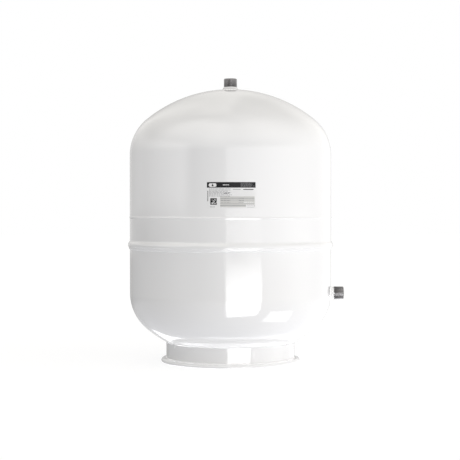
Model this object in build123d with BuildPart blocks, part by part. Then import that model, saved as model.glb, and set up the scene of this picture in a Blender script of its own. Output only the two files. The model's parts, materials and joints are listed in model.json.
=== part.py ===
from build123d import *
import os
from math import asin, atan2, degrees, sqrt

# Floor-standing expansion vessel, 80 litre class, 450 mm in diameter and 608 mm tall to the dome.
# Millimetres. The origin is the centre of the foot on the floor, +Z is up, the water connection
# points along +X and the rating label faces -Y. Every turned outline below is drawn as
# (radius, height) on the XZ plane.

os.makedirs("parts", exist_ok=True)

# Tank: two drawn steel halves with torispherical ends
tank_radius = 225.0
sheet = 1.8
crown_radius = 295.0
knuckle_radius = 103.0
bottom_tangent_z = 153.3
top_tangent_z = 460.7

# Upper rim, flared over the lower half and welded below
flare = 4.0
flare_top_z = 272.0
flare_bottom_z = 262.0
rim_round_z = 259.4
rim_edge_z = 256.8
rim_edge_step = 0.2
weld_foot_z = 250.5
weld_middle_z = 253.2
weld_throat = 1.9
neck_start_z = 258.5
neck_end_z = 266.0
neck_top_z = 316.0
neck_clearance = 0.3

# Rolled groove that holds the diaphragm's rim
groove_z = 322.0
groove_depth = 0.8
groove_reach = 3.5

# Foot: rolled ring with a flared and curled lip
foot_radius = 143.7
foot_height = 42.8
lip_radius = 155.0
lip_top_z = 8.4
lip_inner_radius = 146.5
lip_fillet = 2.0
lip_shoulder = 5.8
lip_heel = 2.6
tack_width = 9.0
tack_proud = 1.4
tack_drop = 6.0
tack_rise = 1.6
tack_sunk = 0.3
tack_round = 1.2
first_tack_angle = -58.5

# Diaphragm, hung from its rim bead
rubber = 2.5
bead_radius = 3.5
bead_centre_radius = 220.3
skin_radius = 219.5
skin_bottom_z = 304.0
bag_radius = 211.5
bag_top_z = 284.0
bag_crown_radius = 285.0
bag_knuckle_radius = 92.0
bag_apex_z = 14.6
crown_disc_radius = 100.0
crown_disc_gap = 0.3
crown_pad_radius = 22.0
crown_pad_height = 1.5
crown_cut_height = 160.0

# Clamp ring inside the diaphragm's rim
clamp_inner_radius = 214.9
clamp_sheet = 1.8
clamp_bottom_z = 306.0
clamp_top_z = 328.0
clamp_flange_radius = 222.7

# Valve boss at the top centre
boss_radius = 15.4
boss_bottom_z = 601.0
boss_shoulder_z = 613.2
spigot_radius = 13.43
boss_top_z = 617.2
boss_bore_radius = 5.0
seal_seat_radius = 6.8
seal_seat_depth = 1.2
boss_weld_radius = 19.5
boss_weld_top_z = 612.4
boss_weld_sunk = 0.6
boss_weld_throat = 1.5
boss_weld_throat_rise = 2.0
boss_hole_depth = 30.0

# Gas valve: brass stem with a 7.7 mm thread, 32 threads per inch
stem_radius = 3.85
stem_pitch = 25.4 / 32
stem_thread_count = 8
stem_runout_turns = 1.2
stem_groove_depth = 0.45
stem_groove_half_width = 0.37
stem_chamfer = 0.3
stem_top_z = 628.6
stem_bottom_z = 603.0
stem_shank_radius = 4.95
stem_hex_apothem = 6.5
stem_hex_bottom_z = 617.8
stem_hex_top_z = 620.6
stem_bore_radius = 2.65
stem_passage_radius = 2.0
stem_seat_top_z = 613.0
stem_seat_bottom_z = 611.5
oring_section_radius = 0.88
oring_inset = 0.9

# Valve core, pin and spring
core_top_z = 627.4
core_head_bottom_z = 622.5
core_head_radius = 2.45
core_radius = 1.9
core_step = 0.5
core_bottom_z = 611.6
core_bore_radius = 1.35
core_shoulder_z = 613.0
core_guide_radius = 0.8
core_seal_top_z = 615.3
core_seal_bottom_z = 613.4
core_seal_gap = 0.02
core_seal_wall_gap = 0.03
core_seal_taper = 0.22
core_seal_taper_height = 0.6
pin_radius = 0.55
pin_top_z = 628.2
pin_bottom_z = 608.4
pin_collar_radius = 1.1
pin_collar_bottom_z = 626.4
pin_collar_top_z = 627.0
pin_foot_radius = 1.2
pin_foot_bottom_z = 609.1
pin_foot_top_z = 609.8
pin_seal_radius = 1.5
pin_seal_top_z = 611.5
spring_radius = 0.98
spring_wire_radius = 0.14
spring_turns = 11
spring_gap = 0.02

# Water connection: 3/4 inch pipe with 14 threads per inch, cut below the pipe's own diameter
connection_z = 152.0
nipple_radius = 13.45
thread_radius = 13.22
thread_pitch = 25.4 / 14
thread_start_x = 235.0
thread_end_x = 250.5
thread_runout = 1.6
thread_groove_depth = 1.1
thread_groove_half_width = 0.78
thread_chamfer = 0.8
nipple_inner_x = 214.0
nipple_bore_radius = 10.5
nipple_weld_radius = 18.5
nipple_weld_end_x = 231.2
nipple_weld_throat = 1.6
nipple_weld_throat_rise = 2.5
strainer_thickness = 1.5
strainer_gap = 0.02
strainer_hole_radius = 2.0
strainer_hole_circle = 6.2
strainer_hole_count = 6

# Protector caps over the gas valve and the water connection
cap_radius = 14.6
cap_wall = 0.75
cap_end = 1.2
cap_lip_radius = 13.51
cap_lip_width = 2.2
cap_lip_slope = 0.6
cap_mouth_chamfer = 0.2
cap_mouth_rise = 0.4
cap_corner = 1.0
cap_edge_round = 1.6
cap_dome = 0.7
valve_cover_bottom_z = 613.5
valve_cover_top_z = 632.4
connection_cap_start_x = 232.0
connection_cap_end_x = 254.2

# Rating label
label_width = 101.0
label_height = 54.0
label_thickness = 0.15
label_corner = 1.5
label_centre_z = 370.0
label_shift_x = 1.6

# How far a V-groove's profile stands past the crest that it is cut from
overshoot = 0.1


def dome_arcs(radius, crown, knuckle, tangent_z, side):
    """Knuckle and crown arcs from the tangent line to the apex; side is 1 for a top and -1 for a bottom."""
    reach = radius - knuckle
    rise = sqrt((crown - knuckle) ** 2 - reach**2)
    turn = degrees(atan2(rise, reach))
    CenterArc((reach, tangent_z), knuckle, 0, side * turn)
    CenterArc((0, tangent_z - side * rise), crown, side * turn, side * (90 - turn))


def dome_depth(radius, crown, knuckle):
    """Distance from the tangent line to the apex."""
    return crown - sqrt((crown - knuckle) ** 2 - (radius - knuckle) ** 2)


def ogee(start, end):
    """S-curve of two equal arcs that leaves start and reaches end along the wall."""
    middle = ((start[0] + end[0]) / 2, (start[1] + end[1]) / 2)
    down = 1 if end[1] > start[1] else -1
    TangentArc(start, middle, tangent=(0, down))
    TangentArc(end, middle, tangent=(0, -down))


def upper_skin(inset):
    """One skin of the upper half, from the apex to the flared rim."""
    wall = tank_radius - inset
    dome_arcs(wall, crown_radius - inset, knuckle_radius - inset, top_tangent_z, 1)
    Line((wall, top_tangent_z), (wall, groove_z + groove_reach))
    ogee((wall, groove_z + groove_reach), (wall + groove_depth, groove_z))
    ogee((wall + groove_depth, groove_z), (wall, groove_z - groove_reach))
    Line((wall, groove_z - groove_reach), (wall, flare_top_z))
    ogee((wall, flare_top_z), (wall + flare, flare_bottom_z))


def lower_skin(inset):
    """One skin of the lower half, from the apex to the top of the neck."""
    wall = tank_radius - inset
    neck = tank_radius - sheet - neck_clearance - inset
    dome_arcs(wall, crown_radius - inset, knuckle_radius - inset, bottom_tangent_z, -1)
    Line((wall, bottom_tangent_z), (wall, neck_start_z))
    ogee((wall, neck_start_z), (neck, neck_end_z))
    Line((neck, neck_end_z), (neck, neck_top_z))


tank_depth = dome_depth(tank_radius, crown_radius, knuckle_radius)
top_apex_z = top_tangent_z + tank_depth
bottom_apex_z = bottom_tangent_z - tank_depth

# Filled outer shape of the tank, used only to trim the pieces that are welded onto it
with BuildPart() as envelope:
    with BuildSketch(Plane.XZ):
        with BuildLine():
            dome_arcs(tank_radius, crown_radius, knuckle_radius, top_tangent_z, 1)
            Line((tank_radius, top_tangent_z), (tank_radius, bottom_tangent_z))
            dome_arcs(tank_radius, crown_radius, knuckle_radius, bottom_tangent_z, -1)
            Line((0, bottom_apex_z), (0, top_apex_z))
        make_face()
    revolve(axis=Axis.Z)

# Upper half of the tank
with BuildPart() as upper_shell:
    with BuildSketch(Plane.XZ):
        with BuildLine():
            upper_skin(0)
            upper_skin(sheet)
            Line((0, top_apex_z), (0, top_apex_z - sheet))
            rim = tank_radius + flare
            rim_edge = rim - sheet + rim_edge_step
            Line((rim, flare_bottom_z), (rim, rim_round_z))
            TangentArc((rim, rim_round_z), (rim_edge, rim_edge_z), tangent=(0, -1))
            Line((rim_edge, rim_edge_z), (rim - sheet, rim_edge_z))
            Line((rim - sheet, rim_edge_z), (rim - sheet, flare_bottom_z))
        make_face()
    revolve(axis=Axis.Z)
    with Locations((0, 0, top_apex_z)):
        Hole(radius=boss_radius, depth=boss_hole_depth)

# Lower half of the tank, with the hole for the water connection
with BuildPart() as lower_shell:
    with BuildSketch(Plane.XZ):
        with BuildLine():
            lower_skin(0)
            lower_skin(sheet)
            neck_outer = tank_radius - sheet - neck_clearance
            Line((neck_outer, neck_top_z), (neck_outer - sheet, neck_top_z))
            Line((0, bottom_apex_z), (0, bottom_apex_z + sheet))
        make_face()
    revolve(axis=Axis.Z)
    with BuildSketch(Plane.YZ.offset(nipple_inner_x)):
        with Locations((0, connection_z)):
            Circle(nipple_radius)
    extrude(amount=2 * nipple_radius, mode=Mode.SUBTRACT)

# Girth weld under the flared rim
with BuildPart() as seam_weld:
    with BuildSketch(Plane.XZ):
        with BuildLine():
            weld_top = (rim_edge, rim_edge_z)
            weld_middle = (tank_radius + weld_throat, weld_middle_z)
            ThreePointArc(weld_top, weld_middle, (tank_radius, weld_foot_z))
            Line((tank_radius, weld_foot_z), (tank_radius, rim_edge_z))
            Line((tank_radius, rim_edge_z), weld_top)
        make_face()
    revolve(axis=Axis.Z)

# Foot ring: one strip of sheet, straight wall, flared lip and inward-turned heel
with BuildPart() as foot_ring:
    wall_inner = foot_radius - sheet
    flange_start = foot_radius + lip_fillet
    fillet_z = lip_top_z + lip_fillet
    shoulder_x = lip_radius - lip_shoulder
    heel_x = lip_radius - lip_heel
    with BuildSketch(Plane.XZ):
        with BuildLine():
            Line((foot_radius, foot_height), (foot_radius, fillet_z))
            CenterArc((flange_start, fillet_z), lip_fillet, 180, 90)
            Line((flange_start, lip_top_z), (shoulder_x, lip_top_z))
            CenterArc((shoulder_x, lip_top_z - lip_shoulder), lip_shoulder, 0, 90)
            CenterArc((heel_x, lip_heel), lip_heel, -90, 90)
            Line((heel_x, 0), (lip_inner_radius, 0))
            Line((lip_inner_radius, 0), (lip_inner_radius, sheet))
            Line((lip_inner_radius, sheet), (heel_x, sheet))
            CenterArc((heel_x, lip_heel), lip_heel - sheet, -90, 90)
            CenterArc((shoulder_x, lip_top_z - lip_shoulder), lip_shoulder - sheet, 0, 90)
            Line((shoulder_x, lip_top_z - sheet), (flange_start, lip_top_z - sheet))
            CenterArc((flange_start, fillet_z), lip_fillet + sheet, 180, 90)
            Line((wall_inner, fillet_z), (wall_inner, foot_height))
            Line((wall_inner, foot_height), (foot_radius, foot_height))
        make_face()
    revolve(axis=Axis.Z)

# Three tack welds that hold the ring to the lower dome
with BuildPart() as foot_tack_welds:
    for index in range(3):
        angle = first_tack_angle + 120 * index
        with BuildSketch(Plane.XZ.rotated((0, 0, angle)).offset(foot_radius - tack_sunk)):
            with Locations((0, foot_height - tack_drop / 2 + tack_rise)):
                Ellipse(tack_width / 2, tack_drop / 2 + tack_rise)
        tack = extrude(amount=tack_sunk + tack_proud)
        fillet(tack.edges().sort_by_distance((0, 0, foot_height))[-1], tack_round)
    add(foot_ring.part, mode=Mode.SUBTRACT)
    add(envelope.part, mode=Mode.SUBTRACT)

# Diaphragm: rim bead, skin behind the clamp ring and the hanging bag, less its crown
bag_depth = dome_depth(bag_radius, bag_crown_radius, bag_knuckle_radius)
bag_tangent_z = bag_apex_z + bag_depth


def bag_skin(inset):
    """One skin of the diaphragm, from the crown's apex to its rim."""
    bag = bag_radius - inset
    skin = skin_radius - inset
    dome_arcs(bag, bag_crown_radius - inset, bag_knuckle_radius - inset, bag_tangent_z, -1)
    Line((bag, bag_tangent_z), (bag, bag_top_z))
    ogee((bag, bag_top_z), (skin, skin_bottom_z))
    Line((skin, skin_bottom_z), (skin, groove_z))


with BuildPart() as diaphragm:
    with BuildSketch(Plane.XZ):
        with BuildLine():
            bag_skin(0)
            bag_skin(rubber)
            Line((skin_radius, groove_z), (skin_radius - rubber, groove_z))
            Line((0, bag_apex_z), (0, bag_apex_z + rubber))
        make_face()
    revolve(axis=Axis.Z)
    with BuildSketch(Plane.XZ):
        with Locations((bead_centre_radius, groove_z)):
            Circle(bead_radius)
    revolve(axis=Axis.Z)
    Cylinder(crown_disc_radius + crown_disc_gap, crown_cut_height, mode=Mode.SUBTRACT)

# Crown of the diaphragm, the part of the moulding that the water lifts
with BuildPart() as diaphragm_crown:
    with BuildSketch(Plane.XZ):
        with BuildLine():
            centre_z = bag_apex_z + bag_crown_radius
            CenterArc((0, centre_z), bag_crown_radius, -90, 90)
            CenterArc((0, centre_z), bag_crown_radius - rubber, -90, 90)
            Line((bag_crown_radius - rubber, centre_z), (bag_crown_radius, centre_z))
            Line((0, bag_apex_z), (0, bag_apex_z + rubber))
        make_face()
    revolve(axis=Axis.Z)
    with BuildSketch(Plane.XY.offset(bag_apex_z + rubber / 2)):
        Circle(crown_pad_radius)
    extrude(amount=rubber / 2 + crown_pad_height)
    Cylinder(crown_disc_radius, crown_cut_height, mode=Mode.INTERSECT)

# Clamp ring: an L-section steel band that pins the rim bead in the rolled groove
with BuildPart() as clamp_ring:
    clamp_outer = clamp_inner_radius + clamp_sheet
    with BuildSketch(Plane.XZ):
        with BuildLine():
            Polyline(
                (clamp_inner_radius, clamp_bottom_z),
                (clamp_outer, clamp_bottom_z),
                (clamp_outer, clamp_top_z - clamp_sheet),
                (clamp_flange_radius, clamp_top_z - clamp_sheet),
                (clamp_flange_radius, clamp_top_z),
                (clamp_inner_radius, clamp_top_z),
                close=True,
            )
        make_face()
    revolve(axis=Axis.Z)

# Valve boss, welded through the top of the upper half
with BuildPart() as valve_boss:
    with BuildSketch(Plane.XZ):
        with BuildLine():
            Polyline(
                (boss_bore_radius, boss_bottom_z),
                (boss_radius, boss_bottom_z),
                (boss_radius, boss_shoulder_z),
                (spigot_radius, boss_shoulder_z),
                (spigot_radius, boss_top_z),
                (seal_seat_radius, boss_top_z),
                (seal_seat_radius, boss_top_z - seal_seat_depth),
                (boss_bore_radius, boss_top_z - seal_seat_depth),
                close=True,
            )
        make_face()
    revolve(axis=Axis.Z)

# Fillet weld around the boss, trimmed to the dome
with BuildPart() as valve_boss_weld:
    with BuildSketch(Plane.XZ):
        with BuildLine():
            foot = (boss_weld_radius, top_apex_z - boss_weld_sunk)
            middle = (boss_radius + boss_weld_throat, top_apex_z + boss_weld_throat_rise)
            top = (boss_radius, boss_weld_top_z)
            ThreePointArc(foot, middle, top)
            Line(top, (boss_radius, top_apex_z - sheet))
            Line((boss_radius, top_apex_z - sheet), (boss_weld_radius, top_apex_z - sheet))
            Line((boss_weld_radius, top_apex_z - sheet), foot)
        make_face()
    revolve(axis=Axis.Z)
    add(envelope.part, mode=Mode.SUBTRACT)

# Valve stem: shank in the boss, hexagon, threaded tip, stepped bore with a conical seat
with BuildPart() as valve_stem:
    with BuildSketch(Plane.XY.offset(stem_bottom_z)):
        Circle(stem_shank_radius)
    extrude(amount=stem_hex_bottom_z - stem_bottom_z)
    with BuildSketch(Plane.XY.offset(stem_hex_bottom_z)):
        RegularPolygon(stem_hex_apothem, 6, major_radius=False)
    extrude(amount=stem_hex_top_z - stem_hex_bottom_z)
    with BuildSketch(Plane.XY.offset(stem_hex_top_z)):
        Circle(stem_radius)
    tip = extrude(amount=stem_top_z - stem_hex_top_z)
    chamfer(tip.faces().sort_by(Axis.Z)[-1].edges(), stem_chamfer)
    groove_mouth = stem_radius + overshoot
    for turn in range(stem_thread_count):
        groove_centre_z = stem_hex_top_z + (turn + stem_runout_turns) * stem_pitch
        with BuildSketch(Plane.XZ):
            with BuildLine():
                Polyline(
                    (groove_mouth, groove_centre_z + stem_groove_half_width),
                    (stem_radius - stem_groove_depth, groove_centre_z),
                    (groove_mouth, groove_centre_z - stem_groove_half_width),
                    close=True,
                )
            make_face()
        revolve(axis=Axis.Z, mode=Mode.SUBTRACT)
    with BuildSketch(Plane.XZ):
        with BuildLine():
            Polyline(
                (0, stem_bottom_z),
                (stem_passage_radius, stem_bottom_z),
                (stem_passage_radius, stem_seat_bottom_z),
                (stem_bore_radius, stem_seat_top_z),
                (stem_bore_radius, stem_top_z),
                (0, stem_top_z),
                close=True,
            )
        make_face()
    revolve(axis=Axis.Z, mode=Mode.SUBTRACT)

# Rubber ring between the boss and the stem's hexagon
with BuildPart() as valve_stem_oring:
    with BuildSketch(Plane.XZ):
        with Locations((seal_seat_radius - oring_inset, boss_top_z - seal_seat_depth + oring_inset)):
            Circle(oring_section_radius)
    revolve(axis=Axis.Z)

# Valve core body
with BuildPart() as valve_core:
    with BuildSketch(Plane.XZ):
        with BuildLine():
            Polyline(
                (core_guide_radius, core_bottom_z),
                (core_radius, core_bottom_z),
                (core_radius, core_head_bottom_z - core_step),
                (core_head_radius, core_head_bottom_z),
                (core_head_radius, core_top_z),
                (core_bore_radius, core_top_z),
                (core_bore_radius, core_shoulder_z),
                (core_guide_radius, core_shoulder_z),
                close=True,
            )
        make_face()
    revolve(axis=Axis.Z)

# Tapered sealing ring on the core
with BuildPart() as valve_core_seal:
    seal_inner = core_radius + core_seal_gap
    seal_outer = stem_bore_radius - core_seal_wall_gap
    with BuildSketch(Plane.XZ):
        with BuildLine():
            Polyline(
                (seal_inner, core_seal_bottom_z),
                (seal_outer - core_seal_taper, core_seal_bottom_z),
                (seal_outer, core_seal_bottom_z + core_seal_taper_height),
                (seal_outer, core_seal_top_z),
                (seal_inner, core_seal_top_z),
                close=True,
            )
        make_face()
    revolve(axis=Axis.Z)

# Valve pin: tip, spring collar, long stem and foot
with BuildPart() as valve_pin:
    with BuildSketch(Plane.XZ):
        with BuildLine():
            Polyline(
                (0, pin_bottom_z),
                (pin_radius, pin_bottom_z),
                (pin_radius, pin_foot_bottom_z),
                (pin_foot_radius, pin_foot_bottom_z),
                (pin_foot_radius, pin_foot_top_z),
                (pin_radius, pin_foot_top_z),
                (pin_radius, pin_collar_bottom_z),
                (pin_collar_radius, pin_collar_bottom_z),
                (pin_collar_radius, pin_collar_top_z),
                (pin_radius, pin_collar_top_z),
                (pin_radius, pin_top_z),
                (0, pin_top_z),
                close=True,
            )
        make_face()
    revolve(axis=Axis.Z)

# Rubber washer on the pin's foot, closing the core from below
with BuildPart() as valve_pin_seal:
    with BuildSketch(Plane.XY.offset(pin_foot_top_z)):
        Circle(pin_seal_radius)
        Circle(pin_radius, mode=Mode.SUBTRACT)
    extrude(amount=pin_seal_top_z - pin_foot_top_z)

# Return spring between the core's shoulder and the pin's collar
with BuildPart() as valve_spring:
    spring_end = spring_wire_radius + spring_gap
    spring_bottom_z = core_shoulder_z + spring_end
    spring_height = pin_collar_bottom_z - core_shoulder_z - 2 * spring_end
    with BuildLine() as spring_path:
        Helix(
            pitch=spring_height / spring_turns,
            height=spring_height,
            radius=spring_radius,
            center=(0, 0, spring_bottom_z),
        )
    with BuildSketch(Plane(spring_path.line @ 0, z_dir=spring_path.line % 0)):
        Circle(spring_wire_radius)
    sweep(path=spring_path.line)


def cap_outline(length, inner_radius):
    """Half section of a protector cap as (radius, height above its mouth)."""
    shoulder = length - cap_dome - cap_edge_round
    ceiling = length - cap_dome - cap_end
    rim = cap_radius - cap_edge_round
    end_radius = (rim**2 + cap_dome**2) / (2 * cap_dome)
    end_turn = degrees(asin(rim / end_radius))
    Line((cap_lip_radius, 0), (cap_radius - cap_mouth_chamfer, 0))
    Line((cap_radius - cap_mouth_chamfer, 0), (cap_radius, cap_mouth_rise))
    Line((cap_radius, cap_mouth_rise), (cap_radius, shoulder))
    CenterArc((rim, shoulder), cap_edge_round, 0, 90)
    CenterArc((0, length - end_radius), end_radius, 90 - end_turn, end_turn)
    Polyline(
        (0, length),
        (0, ceiling),
        (inner_radius - cap_corner, ceiling),
        (inner_radius, ceiling - cap_corner),
        (inner_radius, cap_lip_width + cap_lip_slope),
        (cap_lip_radius, cap_lip_width),
        (cap_lip_radius, 0),
    )


cap_inner_radius = cap_radius - cap_wall

# Protector cap over the gas valve; its lip grips the boss's spigot
with BuildPart() as valve_cover:
    with BuildSketch(Plane((0, 0, valve_cover_bottom_z), x_dir=(1, 0, 0), z_dir=(0, -1, 0))):
        with BuildLine():
            cap_outline(valve_cover_top_z - valve_cover_bottom_z, cap_inner_radius)
        make_face()
    revolve(axis=Axis.Z)

connection_axis = Axis((0, 0, connection_z), (1, 0, 0))

# Protector cap over the water connection, the same moulding made longer
with BuildPart() as connection_cap:
    with BuildSketch(Plane((connection_cap_start_x, 0, connection_z), x_dir=(0, 0, 1), z_dir=(0, 1, 0))):
        with BuildLine():
            cap_outline(connection_cap_end_x - connection_cap_start_x, cap_inner_radius)
        make_face()
    revolve(axis=connection_axis)

# Plane through the connection's axis: local X is the radius and local Y runs outwards from the tank
connection_plane = Plane((0, 0, connection_z), x_dir=(0, 0, 1), z_dir=(0, 1, 0))

# Threaded nipple for the water connection
with BuildPart() as water_nipple:
    thread_count = int((thread_end_x - thread_start_x - thread_runout) / thread_pitch)
    groove_mouth = thread_radius + overshoot
    with BuildSketch(connection_plane):
        with BuildLine():
            Polyline(
                (nipple_bore_radius, nipple_inner_x),
                (nipple_radius, nipple_inner_x),
                (nipple_radius, thread_start_x),
                (thread_radius, thread_start_x),
                (thread_radius, thread_end_x - thread_chamfer),
                (thread_radius - thread_chamfer, thread_end_x),
                (nipple_bore_radius, thread_end_x),
                close=True,
            )
        make_face()
    revolve(axis=connection_axis)
    for turn in range(thread_count):
        groove_x = thread_start_x + (turn + 0.5) * thread_pitch
        with BuildSketch(connection_plane):
            with BuildLine():
                Polyline(
                    (groove_mouth, groove_x - thread_groove_half_width),
                    (thread_radius - thread_groove_depth, groove_x),
                    (groove_mouth, groove_x + thread_groove_half_width),
                    close=True,
                )
            make_face()
        revolve(axis=connection_axis, mode=Mode.SUBTRACT)

# Fillet weld between the nipple and the tank wall
with BuildPart() as water_nipple_weld:
    with BuildSketch(connection_plane):
        with BuildLine():
            foot = (nipple_weld_radius, tank_radius - sheet)
            toe = (nipple_weld_radius, tank_radius)
            middle = (nipple_radius + nipple_weld_throat, tank_radius + nipple_weld_throat_rise)
            top = (nipple_radius, nipple_weld_end_x)
            Line((nipple_radius, tank_radius - sheet), foot)
            Line(foot, toe)
            ThreePointArc(toe, middle, top)
            Line(top, (nipple_radius, tank_radius - sheet))
        make_face()
    revolve(axis=connection_axis)
    add(envelope.part, mode=Mode.SUBTRACT)

# Perforated disc that keeps the diaphragm out of the nipple
with BuildPart() as inlet_strainer:
    with BuildSketch(Plane.YZ.offset(nipple_inner_x)):
        with Locations((0, connection_z)):
            Circle(nipple_bore_radius - strainer_gap)
            Circle(strainer_hole_radius, mode=Mode.SUBTRACT)
            with PolarLocations(strainer_hole_circle, strainer_hole_count):
                Circle(strainer_hole_radius, mode=Mode.SUBTRACT)
    extrude(amount=strainer_thickness)

# Printed film label, bent to the wall
with BuildPart() as rating_label:
    with BuildSketch(Plane.XZ.offset(tank_radius - label_width / 2)):
        with Locations((label_shift_x, label_centre_z)):
            RectangleRounded(label_width, label_height, label_corner)
    extrude(amount=label_width)
    with BuildSketch(Plane.XY.offset(label_centre_z - label_height)):
        Circle(tank_radius + label_thickness)
        Circle(tank_radius, mode=Mode.SUBTRACT)
    extrude(amount=2 * label_height, mode=Mode.INTERSECT)

pieces = {
    "upper_shell": upper_shell,
    "lower_shell": lower_shell,
    "seam_weld": seam_weld,
    "foot_ring": foot_ring,
    "foot_tack_welds": foot_tack_welds,
    "diaphragm": diaphragm,
    "diaphragm_crown": diaphragm_crown,
    "clamp_ring": clamp_ring,
    "valve_boss": valve_boss,
    "valve_boss_weld": valve_boss_weld,
    "valve_stem": valve_stem,
    "valve_stem_oring": valve_stem_oring,
    "valve_core": valve_core,
    "valve_core_seal": valve_core_seal,
    "valve_pin": valve_pin,
    "valve_pin_seal": valve_pin_seal,
    "valve_spring": valve_spring,
    "valve_cover": valve_cover,
    "water_nipple": water_nipple,
    "water_nipple_weld": water_nipple_weld,
    "inlet_strainer": inlet_strainer,
    "connection_cap": connection_cap,
    "rating_label": rating_label,
}
for name, piece in pieces.items():
    piece.part.label = name
    export_step(piece.part, f"parts/{name}.step")
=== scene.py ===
import json
import math
import random

import bmesh
import bpy
from mathutils import Matrix, Vector, noise


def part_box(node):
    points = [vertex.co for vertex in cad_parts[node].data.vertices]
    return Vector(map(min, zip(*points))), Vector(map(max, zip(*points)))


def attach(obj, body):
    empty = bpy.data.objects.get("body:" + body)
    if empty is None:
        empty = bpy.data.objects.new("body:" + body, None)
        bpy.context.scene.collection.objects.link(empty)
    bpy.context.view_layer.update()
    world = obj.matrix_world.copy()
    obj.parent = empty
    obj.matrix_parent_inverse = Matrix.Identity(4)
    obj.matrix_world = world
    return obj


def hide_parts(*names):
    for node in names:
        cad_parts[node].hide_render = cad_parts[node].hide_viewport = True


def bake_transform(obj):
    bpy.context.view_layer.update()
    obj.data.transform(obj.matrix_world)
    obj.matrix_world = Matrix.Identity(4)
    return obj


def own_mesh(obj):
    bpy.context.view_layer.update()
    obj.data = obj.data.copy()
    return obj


# Expansion vessel: light, camera, finishes and the detailed meshes that stand for the CAD nodes.
# Metres, in the CAD model's frame: +Z up, the label faces -Y, the water connection points along +X.

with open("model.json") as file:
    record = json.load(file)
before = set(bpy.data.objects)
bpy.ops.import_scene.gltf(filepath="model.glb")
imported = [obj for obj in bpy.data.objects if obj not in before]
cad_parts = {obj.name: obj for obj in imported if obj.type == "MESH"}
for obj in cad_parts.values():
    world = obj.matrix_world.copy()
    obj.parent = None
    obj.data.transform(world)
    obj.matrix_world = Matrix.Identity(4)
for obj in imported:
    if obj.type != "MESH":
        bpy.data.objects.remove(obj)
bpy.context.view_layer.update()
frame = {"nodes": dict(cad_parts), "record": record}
scene = bpy.context.scene
MM = 0.001
TURN = 2 * math.pi

# Driving dimensions. Places come from the frame; these are the section sizes behind them.
sheet = 1.8 * MM
crown_radius = 295 * MM
knuckle_radius = 103 * MM
tank_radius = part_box("lower_shell")[1].x
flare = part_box("upper_shell")[1].x - tank_radius
top_tangent_z = 460.7 * MM
bottom_tangent_z = 153.3 * MM
groove_z = 322 * MM
groove_depth = 0.8 * MM
groove_reach = 3.5 * MM
rubber = 2.5 * MM
connection_z = sum(corner.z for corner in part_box("water_nipple")) / 2


# ---------------------------------------------------------------- camera

camera_distance = 2.989
camera_height = 0.3507
camera_side = -1.0 * MM
camera_pitch = math.radians(-1.10)
camera_lens = 104.3

camera_data = bpy.data.cameras.new("studio_camera")
camera_data.sensor_width = 36
camera_data.lens = camera_lens
camera = bpy.data.objects.new("studio_camera", camera_data)
camera.location = (camera_side, -camera_distance, camera_height)
camera.rotation_euler = (math.pi / 2 + camera_pitch, 0, 0)
scene.collection.objects.link(camera)
scene.camera = camera
scene.view_settings.view_transform = "Standard"


# ---------------------------------------------------------------- node helpers

def node(tree, kind, **inputs):
    """A new shader node; each input is a number, a tuple or another node's output, keyed by name or place."""
    made = tree.nodes.new(kind)
    for key, value in inputs.items():
        socket = made.inputs[int(key[1:]) if key[0] == "i" and key[1:].isdigit() else key.replace("_", " ")]
        if isinstance(value, bpy.types.NodeSocket):
            tree.links.new(value, socket)
        else:
            socket.default_value = value
    return made


def math_node(tree, operation, first, second=0.0):
    made = node(tree, "ShaderNodeMath", i0=first, i1=second)
    made.operation = operation
    return made.outputs[0]


def ramp(tree, value, low, high, to_low=0.0, to_high=1.0):
    """A smooth step from to_low at low to to_high at high."""
    made = node(tree, "ShaderNodeMapRange", i0=value, i1=low, i2=high, i3=to_low, i4=to_high)
    made.interpolation_type = "SMOOTHSTEP"
    return made.outputs[0]


# ---------------------------------------------------------------- light

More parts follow.
